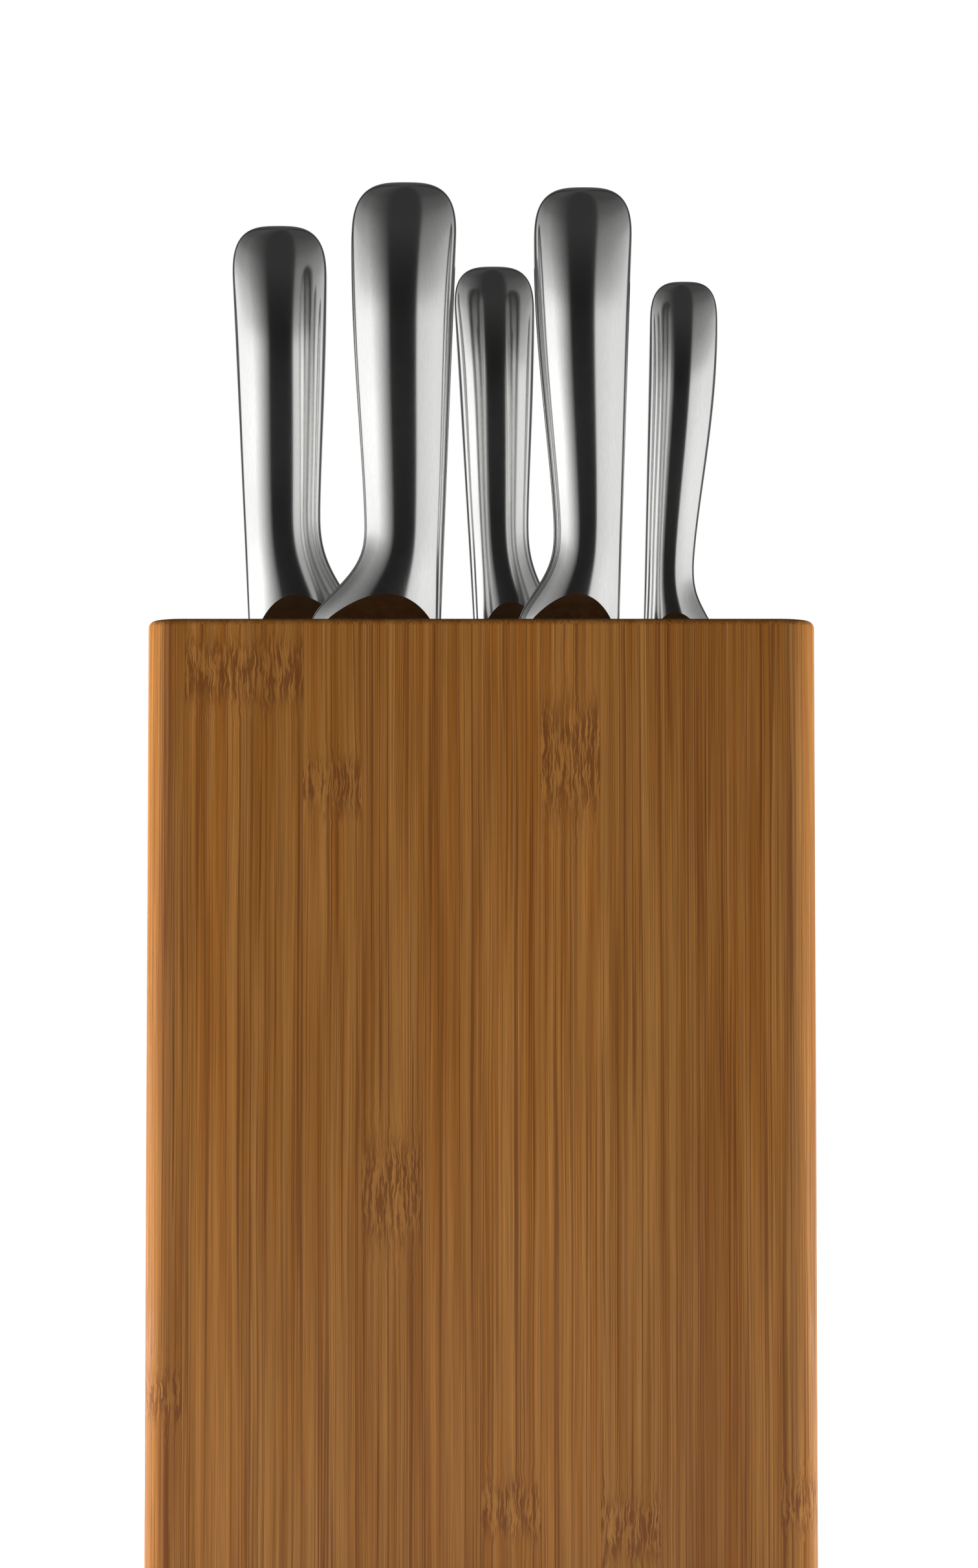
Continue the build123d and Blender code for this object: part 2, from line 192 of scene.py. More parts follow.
def closed_surface(name, grid, sharp=radians(40)):
    """A mesh object from a (rows, columns, 3) grid of rings in millimetres, with a cap on each end."""
    rows, columns = grid.shape[:2]
    faces = ring_quads(rows, columns).tolist()
    faces.append(np.arange(columns)[::-1].tolist())
    faces.append((np.arange(columns) + (rows - 1) * columns).tolist())
    mesh = bpy.data.meshes.new(name)
    mesh.from_pydata((grid.reshape(-1, 3) * MM).tolist(), [], faces)
    mesh.polygons.foreach_set("use_smooth", np.ones(len(mesh.polygons), bool))
    mesh.set_sharp_from_angle(angle=sharp)
    mesh.update()
    made = bpy.data.objects.new(name, mesh)
    bpy.context.scene.collection.objects.link(made)
    return made


def eased(piece, width, segments=2):
    """Rounds a piece's sharp edges with a narrow bevel."""
    bevel = piece.modifiers.new("arris", "BEVEL")
    bevel.width = width
    bevel.segments = segments
    bevel.limit_method = "ANGLE"
    bevel.angle_limit = radians(50)
    bevel.harden_normals = True


# ---------------------------------------------------------------- node helpers
class Tree:
    """Adds nodes to one tree and joins them. An input may be a value or another node's output."""

    def __init__(self, tree):
        self.tree = tree

    def node(self, kind, inputs=None, **settings):
        made = self.tree.nodes.new(kind)
        for key, value in settings.items():
            setattr(made, key, value)
        for key, value in (inputs or {}).items():
            self.feed(made.inputs[key], value)
        return made

    def feed(self, socket, value):
        if isinstance(value, bpy.types.NodeSocket):
            self.tree.links.new(value, socket)
        else:
            socket.default_value = value

    def math(self, operation, *values, clamp=False):
        return self.node("ShaderNodeMath", dict(enumerate(values)), operation=operation,
                         use_clamp=clamp).outputs[0]

    def mix(self, amount, a, b, blend="MIX"):
        made = self.node("ShaderNodeMix", data_type="RGBA", blend_type=blend)
        self.feed(made.inputs[0], amount)
        self.feed(made.inputs[6], a)
        self.feed(made.inputs[7], b)
        return made.outputs[2]

    def span(self, value, low, high, out_low=0.0, out_high=1.0, smooth=True):
        made = self.node(
            "ShaderNodeMapRange",
            {"Value": value, "From Min": low, "From Max": high, "To Min": out_low, "To Max": out_high},
            interpolation_type="SMOOTHSTEP" if smooth else "LINEAR",
        )
        return made.outputs[0]

    def scaled(self, vector, scale, shift=(0.0, 0.0, 0.0)):
        made = self.node("ShaderNodeMapping", {"Vector": vector, "Location": shift, "Scale": scale})
        return made.outputs[0]

    def noise(self, vector, scale, detail=2.0, rough=0.5, distortion=0.0):
        made = self.node(
            "ShaderNodeTexNoise",
            {"Vector": vector, "Scale": scale, "Detail": detail, "Roughness": rough,
             "Distortion": distortion},
        )
        return made.outputs["Fac"]


def group_of(name, inputs, outputs):
    """A new shader node group with named sockets: its tree, its inputs by name and its output node."""
    tree = bpy.data.node_groups.new(name, "ShaderNodeTree")
    for label, kind, value in inputs:
        socket = tree.interface.new_socket(name=label, in_out="INPUT", socket_type=kind)
        if value is not None:
            socket.default_value = value
    for label, kind in outputs:
        tree.interface.new_socket(name=label, in_out="OUTPUT", socket_type=kind)
    t = Tree(tree)
    source = t.node("NodeGroupInput")
    sink = t.node("NodeGroupOutput")
    return t, source.outputs, sink


FLOAT, COLOUR, VECTOR = "NodeSocketFloat", "NodeSocketColor", "NodeSocketVector"


def bamboo_group():
    """Strips of bamboo side by side along X, with fibres along Z and a knuckle across some of them.

    Each strip has its own tone. The fibres are noise drawn out along Z, so they show as streaks on
    upright faces and as dots on end grain. The finest hair lines are where a noise passes through its
    middle value. Round a knuckle the fibres break up into short dashes. End Grain darkens the colour
    by up to half: partly the end grain's own tone, partly painted shade on the top and bottom faces.
    """
    t, given, sink = group_of(
        "bamboo_strips",
        [("Vector", VECTOR, None), ("Ground", COLOUR, None), ("Pale Ground", COLOUR, None),
         ("Fibre", COLOUR, None), ("Strip Width", FLOAT, 15.9), ("Strip Shift", FLOAT, 0.0),
         ("Seed", FLOAT, 0.0), ("Tone Spread", FLOAT, 0.16), ("Knuckle Height", FLOAT, -100.0),
         ("Knuckle Half", FLOAT, 6.0), ("End Grain And Painted Shade", FLOAT, 0.0)],
        [("Color", COLOUR), ("Roughness", FLOAT), ("Height", FLOAT)],
    )
    place = t.scaled(given["Vector"], (1 / MM, 1 / MM, 1 / MM))
    axes = t.node("ShaderNodeSeparateXYZ", {0: place}).outputs
    across = t.math("DIVIDE", t.math("ADD", axes[0], given["Strip Shift"]), given["Strip Width"])
    index = t.math("FLOOR", across)
    within = t.math("SUBTRACT", across, index)
    tag = t.math("ADD", index, t.math("MULTIPLY", given["Seed"], 17.3))
    chance = t.node("ShaderNodeTexWhiteNoise", {"W": tag}, noise_dimensions="1D")
    dice = t.node("ShaderNodeSeparateColor", {0: chance.outputs["Color"]}).outputs

    # how near the knuckle this point is, with a ragged outline
    ragged = t.noise(t.scaled(place, (0.9, 0.9, 0.05)), 1.0, 1.0)
    wobble = t.math("MULTIPLY", t.math("SUBTRACT", ragged, 0.5), 9.0)
    off = t.math("SUBTRACT", axes[2], t.math("ADD", given["Knuckle Height"], wobble))
    near = t.math("DIVIDE", t.math("ABSOLUTE", off), given["Knuckle Half"])
    knuckle = t.span(near, 1.25, 0.75)
    halo = t.span(near, 3.4, 0.8)

    # every strip gets its own piece of the pattern, and drifts a little sideways along its length
    drift = t.noise(t.scaled(place, (0.05, 0.05, 0.012)), 1.0, 1.0)
    bend = t.math("MULTIPLY", t.math("SUBTRACT", drift, 0.5), 1.0)
    swirl = t.math("SUBTRACT", t.noise(t.scaled(place, (0.35, 0.35, 0.22)), 1.0, 2.0), 0.5)
    bend = t.math("MULTIPLY_ADD", t.math("MULTIPLY", swirl, halo), 1.6, bend)
    x = t.math("ADD", t.math("MULTIPLY_ADD", dice[0], 731.0, axes[0]), bend)
    strand = t.node("ShaderNodeCombineXYZ", {0: x, 1: axes[1], 2: axes[2]}).outputs[0]

    broad = t.noise(t.scaled(strand, (0.33, 0.33, 0.007)), 1.0, 2.0)
    medium = t.noise(t.scaled(strand, (1.7, 1.7, 0.008)), 1.0, 2.0, 0.6)
    fine = t.noise(t.scaled(strand, (4.4, 4.4, 0.022)), 1.0, 2.0, 0.8)
    bundle = t.noise(t.scaled(strand, (2.6, 2.6, 0.005), (9.0, 4.0, 2.0)), 1.0, 2.0, 0.8)
    streak = t.span(bundle, 0.57, 0.62)
    hair = t.noise(t.scaled(strand, (0.95, 0.95, 0.0024), (2.0, 8.0, 5.0)), 1.0, 1.0, 0.7)
    hair = t.span(t.math("ABSOLUTE", t.math("SUBTRACT", hair, 0.5)), 0.052, 0.022)
    weight = t.noise(t.scaled(strand, (0.9, 0.9, 0.006), (6.0, 1.0, 4.0)), 1.0, 1.0)
    hair = t.math("MULTIPLY", hair, t.span(weight, 0.32, 0.62, 0.25, 1.0))
    dense = t.noise(t.scaled(strand, (0.22, 0.22, 0.004), (3.0, 5.0, 7.0)), 1.0, 1.0)
    streak = t.math("MULTIPLY", streak, t.span(dense, 0.30, 0.62, 0.25, 0.8))
    streak = t.math("MAXIMUM", streak, hair)
    dash = t.noise(t.scaled(strand, (1.7, 1.7, 0.12)), 1.0, 2.0, 0.7)
    dash = t.math("MULTIPLY", t.span(dash, 0.43, 0.56, 0.0, 1.1), t.span(near, 2.0, 0.6))

    ground = t.mix(t.span(broad, 0.32, 0.68), given["Ground"], given["Pale Ground"])
    ground = t.mix(t.math("MULTIPLY", knuckle, 0.35), ground, given["Pale Ground"])
    shade = t.span(medium, 0.28, 0.72, 0.90, 1.09)
    shade = t.math("MULTIPLY", shade, t.span(fine, 0.28, 0.72, 0.80, 1.20))
    tone = t.math("MULTIPLY_ADD", t.math("SUBTRACT", dice[1], 0.5), given["Tone Spread"], 1.0)
    shade = t.math("MULTIPLY", shade, tone)
    # where End Grain is set the colour is darkened by up to half: partly the end grain's own tone, partly
    # painted shade on the top and bottom faces
    shade = t.math("MULTIPLY", shade, t.math("MULTIPLY_ADD", given["End Grain And Painted Shade"], -0.5, 1.0))
    grey = t.node("ShaderNodeCombineColor", {0: shade, 1: shade, 2: shade}).outputs[0]
    warm = t.mix(dice[2], (1.03, 0.985, 0.93, 1.0), (0.985, 1.01, 1.05, 1.0))
    painted = t.mix(1.0, t.mix(1.0, ground, grey, "MULTIPLY"), warm, "MULTIPLY")
    dark = t.math("MAXIMUM", t.math("MULTIPLY", streak, t.math("SUBTRACT", 1.0, knuckle)), dash)
    painted = t.mix(t.math("MULTIPLY", dark, 0.62), painted, given["Fibre"])

    # the glue line between strips
    side = t.math("MINIMUM", within, t.math("SUBTRACT", 1.0, within))
    joint = t.span(t.math("MULTIPLY", side, given["Strip Width"]), 0.16, 0.04)
    painted = t.mix(t.math("MULTIPLY", joint, 0.28), painted, given["Fibre"])

    t.feed(sink.inputs["Color"], painted)
    polish = t.span(fine, 0.2, 0.8, -0.04, 0.05)
    t.feed(sink.inputs["Roughness"], t.math("MULTIPLY_ADD", dark, 0.12, polish))
    relief = t.math("MULTIPLY_ADD", dark, -0.6, t.math("MULTIPLY", fine, 0.35))
    t.feed(sink.inputs["Height"], t.math("MULTIPLY_ADD", joint, -0.5, relief))
    return t.tree


def ground_steel_group():
    """Fine straight grinding marks, as a change of roughness and a very low relief.

    The marks are noise drawn out along one axis: the Stretch vector says how quickly it changes along
    each axis, in marks per millimetre.
    """
    t, given, sink = group_of(
        "ground_steel",
        [("Vector", VECTOR, None), ("Stretch", VECTOR, (3.0, 3.0, 0.1)), ("Roughness", FLOAT, 0.2),
         ("Variation", FLOAT, 0.06), ("Steel", COLOUR, None)],
        [("Color", COLOUR), ("Roughness", FLOAT), ("Height", FLOAT)],
    )
    place = t.scaled(given["Vector"], (1 / MM, 1 / MM, 1 / MM))
    drawn = t.node("ShaderNodeVectorMath", {0: place, 1: given["Stretch"]}, operation="MULTIPLY")
    marks = t.noise(drawn.outputs[0], 1.0, 3.0, 0.7)
    cloud = t.noise(t.scaled(place, (0.05, 0.05, 0.05)), 1.0, 2.0)
    lift = t.math("MULTIPLY_ADD", t.math("SUBTRACT", cloud, 0.5), 0.5, t.math("SUBTRACT", marks, 0.5))
    rough = t.math("MULTIPLY_ADD", lift, given["Variation"], given["Roughness"])
    t.feed(sink.inputs["Roughness"], rough)
    t.feed(sink.inputs["Height"], marks)
    tint = t.span(marks, 0.2, 0.8, 0.95, 1.03)
    grey = t.node("ShaderNodeCombineColor", {0: tint, 1: tint, 2: tint}).outputs[0]
    t.feed(sink.inputs["Color"], t.mix(1.0, given["Steel"], grey, "MULTIPLY"))
    return t.tree


def group_for(name, maker):
    """The node group of that name, made the first time it is asked for."""
    return bpy.data.node_groups.get(name) or maker()


def new_material(name):
    """An empty node material: its helper tree, its Principled shader and the material."""
    made = bpy.data.materials.new(name)
    made.use_nodes = True
    made.node_tree.nodes.clear()
    t = Tree(made.node_tree)
    shader = t.node("ShaderNodeBsdfPrincipled")
    t.node("ShaderNodeOutputMaterial", {"Surface": shader.outputs[0]})
    return t, shader, made


def bump_into(t, shader, height, strength, distance):
    bump = t.node("ShaderNodeBump", {"Strength": strength, "Distance": distance, "Height": height})
    t.feed(shader.inputs["Normal"], bump.outputs[0])


# knuckles of the front board: strip counted from the middle, depth of its centre below the top,
# and half its height
FRONT_KNUCKLES = (
    (-6, 208.0, 5.0), (-5, 14.5, 6.0), (-4, 14.5, 6.5), (-3, 45.0, 5.5), (-2, 153.0, 10.0),
    (0, 237.0, 5.0), (1, 37.5, 11.0), (2, 242.5, 6.0), (5, 235.5, 4.5),
)


def knuckle_ramp(t, strip, value_of, empty):
    """A stepped ramp over the strips of the front board, which gives value_of(knuckle) or empty."""
    first, count = -6, 12
    ramp = t.node("ShaderNodeValToRGB")
    ramp.color_ramp.interpolation = "CONSTANT"
    points = ramp.color_ramp.elements
    known = {entry[0]: value_of(entry) for entry in FRONT_KNUCKLES}
    for i in range(count):
        at = i / count
        point = points[i] if i < 2 else points.new(at)
        point.position = at
        value = known.get(first + i, empty)
        point.color = (value, value, value, 1.0)
    t.feed(ramp.inputs[0], t.math("DIVIDE", t.math("SUBTRACT", strip, first - 0.5), count))
    return ramp.outputs[0]


def bamboo_material(name, look, shift=0.0, seed=0.0, front=False, strip_width=None):
    """Oiled bamboo for one board. Only the front board has its knuckles in set places."""
    t, shader, made = new_material(name)
    place = t.node("ShaderNodeTexCoord").outputs["Object"]
    axes = t.node("ShaderNodeSeparateXYZ", {0: place}).outputs
    width = (strip_width or look.strip_width) / MM
    x = t.math("MULTIPLY", axes[0], 1 / MM)
    strip = t.math("FLOOR", t.math("DIVIDE", t.math("ADD", x, shift), width))
    if front:
        depth = knuckle_ramp(t, strip, lambda entry: entry[1] / 300, 1.0)
        height = t.math("SUBTRACT", BLOCK_TOP, t.math("MULTIPLY", depth, 300.0))
        absent = t.math("GREATER_THAN", depth, 0.95)
        height = t.math("SUBTRACT", height, t.math("MULTIPLY", absent, 400.0))
        half = t.math("MULTIPLY", knuckle_ramp(t, strip, lambda entry: entry[2] / 20, 0.3), 20.0)
    else:
        tag = t.math("ADD", strip, seed * 5.7 + 40.0)
        chance = t.node("ShaderNodeTexWhiteNoise", {"W": tag}, noise_dimensions="1D")
        height = t.math("MULTIPLY", chance.outputs["Value"], 2 * BLOCK_TOP)
        half = t.math("MULTIPLY_ADD", chance.outputs["Value"], 4.0, 4.5)
    # faces that point up or down get the End Grain darkening: partly the end grain's own tone, partly
    # painted shade that makes the top and bottom of the block look shaded
    facing = t.node("ShaderNodeSeparateXYZ", {0: t.node("ShaderNodeNewGeometry").outputs["Normal"]})
    end = t.span(t.math("ABSOLUTE", facing.outputs[2]), 0.6, 0.95)
    wood = t.node("ShaderNodeGroup", node_tree=group_for("bamboo_strips", bamboo_group))
    for label, value in {
        "Vector": place, "Ground": (*look.mid, 1.0), "Pale Ground": (*look.light, 1.0),
        "Fibre": (*look.fibre, 1.0), "Strip Width": width, "Strip Shift": shift, "Seed": seed,
        "Tone Spread": look.tone_spread, "Knuckle Height": height, "Knuckle Half": half,
        "End Grain And Painted Shade": end,
    }.items():
        t.feed(wood.inputs[label], value)
    t.feed(shader.inputs["Base Color"], wood.outputs["Color"])
    t.feed(shader.inputs["Roughness"], t.math("ADD", wood.outputs["Roughness"], look.roughness))
    shader.inputs["Specular IOR Level"].default_value = 0.15
    shader.inputs["Coat Weight"].default_value = 0.10
    shader.inputs["Coat Roughness"].default_value = 0.12
    bump_into(t, shader, wood.outputs["Height"], 0.35, 0.00012)
    return made


def steel_material(name, tint, roughness, stretch, variation=0.06, relief=0.1):
    """Satin or ground steel."""
    t, shader, made = new_material(name)
    place = t.node("ShaderNodeTexCoord").outputs["Object"]
    steel = t.node("ShaderNodeGroup", node_tree=group_for("ground_steel", ground_steel_group))
    for label, value in {
        "Vector": place, "Stretch": stretch, "Roughness": roughness, "Variation": variation,
        "Steel": (*tint, 1.0),
    }.items():
        t.feed(steel.inputs[label], value)
    shader.inputs["Metallic"].default_value = 1.0
    t.feed(shader.inputs["Base Color"], steel.outputs["Color"])
    t.feed(shader.inputs["Roughness"], steel.outputs["Roughness"])
    bump_into(t, shader, steel.outputs["Height"], relief, 0.00001)
    return made


def rubber_material():
    """Matt black rubber with a fine moulded grain and a little dust."""
    t, shader, made = new_material("foot_rubber_matt")
    place = t.node("ShaderNodeTexCoord").outputs["Object"]
    grain = t.noise(place, 2500.0, 2.0)
    dust = t.noise(place, 220.0, 3.0)
    tint = t.mix(t.span(dust, 0.45, 0.75), (0.018, 0.018, 0.018, 1.0), (0.05, 0.048, 0.045, 1.0))
    t.feed(shader.inputs["Base Color"], tint)
    t.feed(shader.inputs["Roughness"], t.span(dust, 0.3, 0.8, 0.68, 0.9))
    bump_into(t, shader, grain, 0.4, 0.00008)
    return made


def given_material(node, material):
    """Puts one material in every slot of a CAD node's object."""
    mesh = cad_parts[node].data
    if not mesh.materials:
        mesh.materials.append(material)
    for i in range(len(mesh.materials)):
        mesh.materials[i] = material


# ---------------------------------------------------------------- boards
def slot_spans(row):
    """The slots in one row, as (low x, high x): the gaps between the spacers whose boxes lie on it."""
    ends = []
    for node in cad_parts:
        if node.endswith("_spacer"):
            low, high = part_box(node)
            if (low.y < row * MM) and (high.y > row * MM):
                ends.append((low.x / MM, high.x / MM))
    ends.sort()
    return [(a[1], b[0]) for a, b in zip(ends, ends[1:])]


def slab_plan(x0, x1, y0, y1, rounded, spans):
    """The outline of a board seen from above, anticlockwise, with two inward directions for each point.

    The first direction is where the point goes as the outside edge rounds over, and the second where it
    goes as a slot's mouth is chamfered. rounded is -1 or +1 for the board whose front or back corners are
    quarter circles, and 0 for a board with square corners. spans maps a face, "low" or "high", to the
    slots that open on it.
    """
    points, over, mouth = [], [], []

    def put(x, y, round_x=0.0, round_y=0.0, mouth_x=0.0, mouth_y=0.0):
        points.append((x, y))
        over.append((round_x, round_y))
        mouth.append((mouth_x, mouth_y))

    def inward_x(x):
        return -np.sign(x) if abs(abs(x) - HALF_WIDTH) < 0.01 else 0.0

    def straight(face, y, xs, inward):
        """One long side, from the first x to the last, with a notch line at each slot's ends."""
        put(xs[0], y, inward_x(xs[0]))
        slots = sorted(spans.get(face, []), reverse=bool(xs[0] > xs[1]))
        for a, b in slots:
            ends = (a, b) if xs[0] < xs[1] else (b, a)
            for place, step, depth in ((0, -1, 0), (0, 0, 1), (1, 0, 1), (1, 1, 0)):
                way = 1 if xs[0] < xs[1] else -1
                put(ends[place] + way * step * MOUTH_CHAMFER, y, 0.0, 0.0, 0.0, depth * inward)
        put(xs[1], y, inward_x(xs[1]))

    def corner(side_x, side_y, start):
        turns = start + np.linspace(0, pi / 2, 17)
        cx = side_x * (HALF_WIDTH - CORNER_RADIUS)
        cy = side_y * (HALF_DEPTH - CORNER_RADIUS)
        for a in turns:
            put(cx + CORNER_RADIUS * np.cos(a), cy + CORNER_RADIUS * np.sin(a), -np.cos(a), -np.sin(a))

    if rounded < 0:
        corner(-1, -1, pi)
        corner(1, -1, 1.5 * pi)
    else:
        straight("low", y0, (x0, x1), 1)
    if rounded > 0:
        corner(1, 1, 0.0)
        corner(-1, 1, 0.5 * pi)
    else:
        straight("high", y1, (x1, x0), -1)
    return np.array(points), np.array(over), np.array(mouth)


def board_surface(name, x0, x1, y0, y1, z0, rounded=0, spans=None, round_foot=False, ends=(0, 0)):
    """A board as its outline carried straight up.

    The outline is drawn in by a quarter circle near the top, and near the foot where round_foot is
    true, and by a slope of 45 degrees at the slots' mouths. ends says which ends of a spacer border a
    slot.
    """
    points, over, mouth = slab_plan(x0, x1, y0, y1, rounded, spans or {})
    for side, x, way in ((0, x0, 1), (1, x1, -1)):
        if ends[side]:
            mouth[np.abs(points[:, 0] - x) < 0.01] = (way, 0.0)
    turn = np.linspace(0, pi / 2, 9)
    top = BLOCK_TOP - EDGE_ROUND + EDGE_ROUND * np.sin(turn)
    levels = np.concatenate([top, [BLOCK_TOP - MOUTH_CHAMFER]])
    if round_foot:
        levels = np.concatenate([levels, z0 + EDGE_ROUND - EDGE_ROUND * np.sin(turn)])
    else:
        levels = np.concatenate([levels, [z0]])
    z = np.unique(np.round(levels, 4))
    reach = np.maximum(z - (BLOCK_TOP - EDGE_ROUND), 0)
    if round_foot:
        reach = np.maximum(reach, (z0 + EDGE_ROUND) - z)
    drawn = EDGE_ROUND - np.sqrt(np.maximum(EDGE_ROUND**2 - reach**2, 0))
    cut = np.maximum(z - (BLOCK_TOP - MOUTH_CHAMFER), 0)
    plan = points[None] + over[None] * drawn[:, None, None] + mouth[None] * cut[:, None, None]
    heights = np.broadcast_to(z[:, None, None], (*plan.shape[:2], 1))
    return closed_surface(name, np.concatenate([plan, heights], axis=2))


def finish_piece(piece, material, body, slot, *nodes):
    """Gives a new piece its material and its body, and hides the CAD nodes it stands for. The slot
    argument is not used.
    """
    piece.data.materials.append(material)
    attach(piece, body)
    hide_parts(*nodes)


# ---------------------------------------------------------------- handles
def edge_line(k, h):
    """The cutting-edge side of a handle: it widens to the butt above the waist and flares below it."""
    down = np.clip((k["waist_h"] - h) / k["waist_h"], 0, 1)
    up = np.clip((h - k["waist_h"]) / (k["butt_h"] - k["waist_h"]), 0, 1)
    flare = k["flare"] * np.sin(pi / 2 * down**FLARE_POWER) ** 2
    return k["waist_u"] + flare + (k["butt_u"] - k["waist_u"]) * np.sin(pi / 2 * up) ** EASE_POWER


def handle_rows(k):
    """Heights of the rings above the bevelled foot, and how much the rounding of the butt shrinks them."""
    flare = np.arange(k["bevel_h"] + 2.0, k["waist_h"], 0.6)
    body = np.linspace(k["waist_h"], k["butt_h"], BODY_RINGS)
    turn = np.linspace(0, pi / 2, CAP_RINGS + 2)[1:-1]
    cap = k["butt_h"] + (k["handle"] - k["butt_h"]) * np.sin(turn) ** (2 / BUTT_POWER)
    heights = np.concatenate([flare, body, cap])
    shrink = np.concatenate([np.ones(len(flare) + len(body)), np.cos(turn) ** (2 / BUTT_POWER)])
    return heights, shrink


def half_oval(k, h, c, s):
    """Half the handle's thickness at height h, where the oval's direction has cosine c and sine s.

    It grows by a smooth step from waist to butt and rounds off over a long crown below the butt.
    Towards the flared heel the section thins.
    """
    reach = (np.abs(c) ** OVAL_POWER + np.abs(s) ** OVAL_POWER) ** (-1 / OVAL_POWER)
    up = np.clip((h - k["waist_h"]) / (k["butt_h"] - k["waist_h"] - CROWN_LENGTH / 2), 0, 1)
    half = k["waist_half"] + (k["butt_half"] - k["waist_half"]) * up * up * (3 - 2 * up)
    crown_foot = k["butt_h"] - CROWN_LENGTH
    crown = np.clip((h - crown_foot) / (k["handle"] - crown_foot), 0, 1)
    flared = (edge_line(k, h) - k["waist_u"]) / k["flare"] * (h < k["waist_h"])
    thin = 1 - HEEL_TAPER * flared * np.clip(k["side"] * reach * c, 0, 1) ** 2
    return half * (1 - crown**CROWN_POWER) ** (1 / CROWN_POWER) * reach * np.abs(s) * thin


def handle_grid(k, row, ring):
    """A handle as rings of a superellipse.

    Each ring spans from the straight spine line to the edge line, and over the butt it shrinks along a
    superellipse. Two planes, from the foot's half thickness up to the bevel's height, cut the foot. The
    lowest rings follow the line where the planes meet the oval, so that the bevel has a crisp edge.
    """
    upper, shrink = handle_rows(k)
    turn = np.linspace(0, 2 * pi, ring, endpoint=False)[None]
    c, s = np.cos(turn), np.sin(turn)
    slope = (k["waist_half"] - FOOT_HALF_THICKNESS) / k["bevel_h"]
    crease = np.zeros_like(turn)
    for _ in range(CREASE_STEPS):
        meeting = (half_oval(k, crease, c, s) - FOOT_HALF_THICKNESS) / slope
        crease = np.clip(meeting, LOWEST_CREASE, k["bevel_h"])
    below = np.linspace(0, 1, BELOW_CREASE)[:, None] * crease
    above = crease + np.linspace(0, 1, ABOVE_CREASE)[1:-1, None] * (upper[0] - crease)
    h = np.concatenate([below, above, np.broadcast_to(upper[:, None], (len(upper), ring))])
    shrink = np.concatenate([np.ones(len(below) + len(above)), shrink])[:, None]
    reach = (np.abs(c) ** OVAL_POWER + np.abs(s) ** OVAL_POWER) ** (-1 / OVAL_POWER)
    spine, edge = k["lean"] * h, edge_line(k, h)
    x = k["spine_x"] + k["side"] * (spine + edge) / 2 + (edge - spine) / 2 * shrink * reach * c
    half = np.minimum(half_oval(k, h, c, s), FOOT_HALF_THICKNESS + slope * h)
    return np.stack([x, row + np.sign(s) * half, BLOCK_TOP + h], axis=2)


# ---------------------------------------------------------------- blades
def blade_grid(k, row):
    """A blade with its tang, as rings round its thickness.

    Each ring goes up one face from the spine to the edge and back along the other. The thickness is
    whole to the middle of the width, falls in a straight line to the edge bevel, and ends in a steeper
    bevel. The spine is straight and then drops to the tip as a power curve, and the edge rises to it
    with one long belly. The bread knife's edge is cut by a row of arcs.
    """
    length = k["blade"]
    tip, width = k["tip_u"], k["blade_width"]
    stations = 420 if k["scallops"] else 200
    d = length * (1 - (1 - np.linspace(0, 1, stations)) ** 1.35)
    d = np.concatenate([np.linspace(0, d[-2], stations - 1), [length - 0.05]]) if k["scallops"] else d
    fall = np.clip((d / length - k["straight"]) / (1 - k["straight"]), 0, 1)
    spine = tip * fall**2.4
    belly = np.clip((d / length - 0.45) / 0.55, 0, 1)
    edge = width - (width - tip) * belly**2.6
    foot_edge = edge_line(k, np.zeros(1))[0]
    heel = np.clip(d / 2.5, 0, 1)
    edge = foot_edge + (edge - foot_edge) * np.sqrt(1 - (1 - heel) ** 2)
    if k["scallops"]:
        first, last = 14.0, 0.86 * length
        pitch = (last - first) / k["scallops"]
        phase = np.clip((d - first) / pitch, 0, k["scallops"]) % 1
        edge = edge - 1.3 * (1 - (2 * phase - 1) ** 2) * ((d > first) & (d < last))
    across = np.array([0, 0.03, 0.10, 0.2, 0.3, 0.45, 0.6, 0.75, 0.87, 0.95, 0.975, 1.0])
    half = k["thickness"] / 2
    body = np.interp(across, [0, 0.03, 0.10, 0.3, 0.95, 1.0], [0.55, 0.9, 1.0, 1.0, 0.34, 0.03]) * half
    ring_u = np.concatenate([across, across[::-1]])
    ring_t = np.concatenate([body, -body[::-1]])
    u = spine[:, None] + (edge - spine)[:, None] * ring_u[None]
    narrow = np.clip((edge - spine) / (0.35 * width), 0.12, 1)
    t = narrow[:, None] * ring_t[None]
    z = BLOCK_TOP - d
    x = k["spine_x"] + k["side"] * u
    blade = np.stack([x, row + t, np.broadcast_to(z[:, None], x.shape)], axis=2)
    # the tang above it: the same ring squeezed to a plain strip
    start = (edge_line(k, np.array([k["waist_h"]]))[0] - TANG_WIDTH) / 2
    tang_x = k["spine_x"] + k["side"] * (start + TANG_WIDTH * ring_u)
    tang_t = np.sign(ring_t) * half
    levels = BLOCK_TOP + np.array([k["tang"], 0.0])
    tang = np.stack([np.broadcast_to(tang_x, (2, len(tang_x))),
                     np.broadcast_to(row + tang_t, (2, len(tang_t))),
                     np.broadcast_to(levels[:, None], (2, len(tang_x)))], axis=2)
    grid = np.concatenate([tang, blade])[::-1]
    return grid if k["side"] < 0 else grid[:, ::-1]


# ---------------------------------------------------------------- operators
BOARDS = {
    # name: (rounded corners, slots on its low face, slots on its high face, strip shift, seed)
    "front_face_board": (-1, None, None, 0.0, 1.0),
    "front_inner_board": (0, None, "front", 5.3, 2.0),
    "centre_front_board": (0, "front", None, 11.0, 3.0),
    "centre_back_board": (0, None, "back", 2.6, 4.0),
    "back_inner_board": (0, "back", None, 8.1, 5.0),
    "back_face_board": (1, None, None, 4.0, 6.0),
}


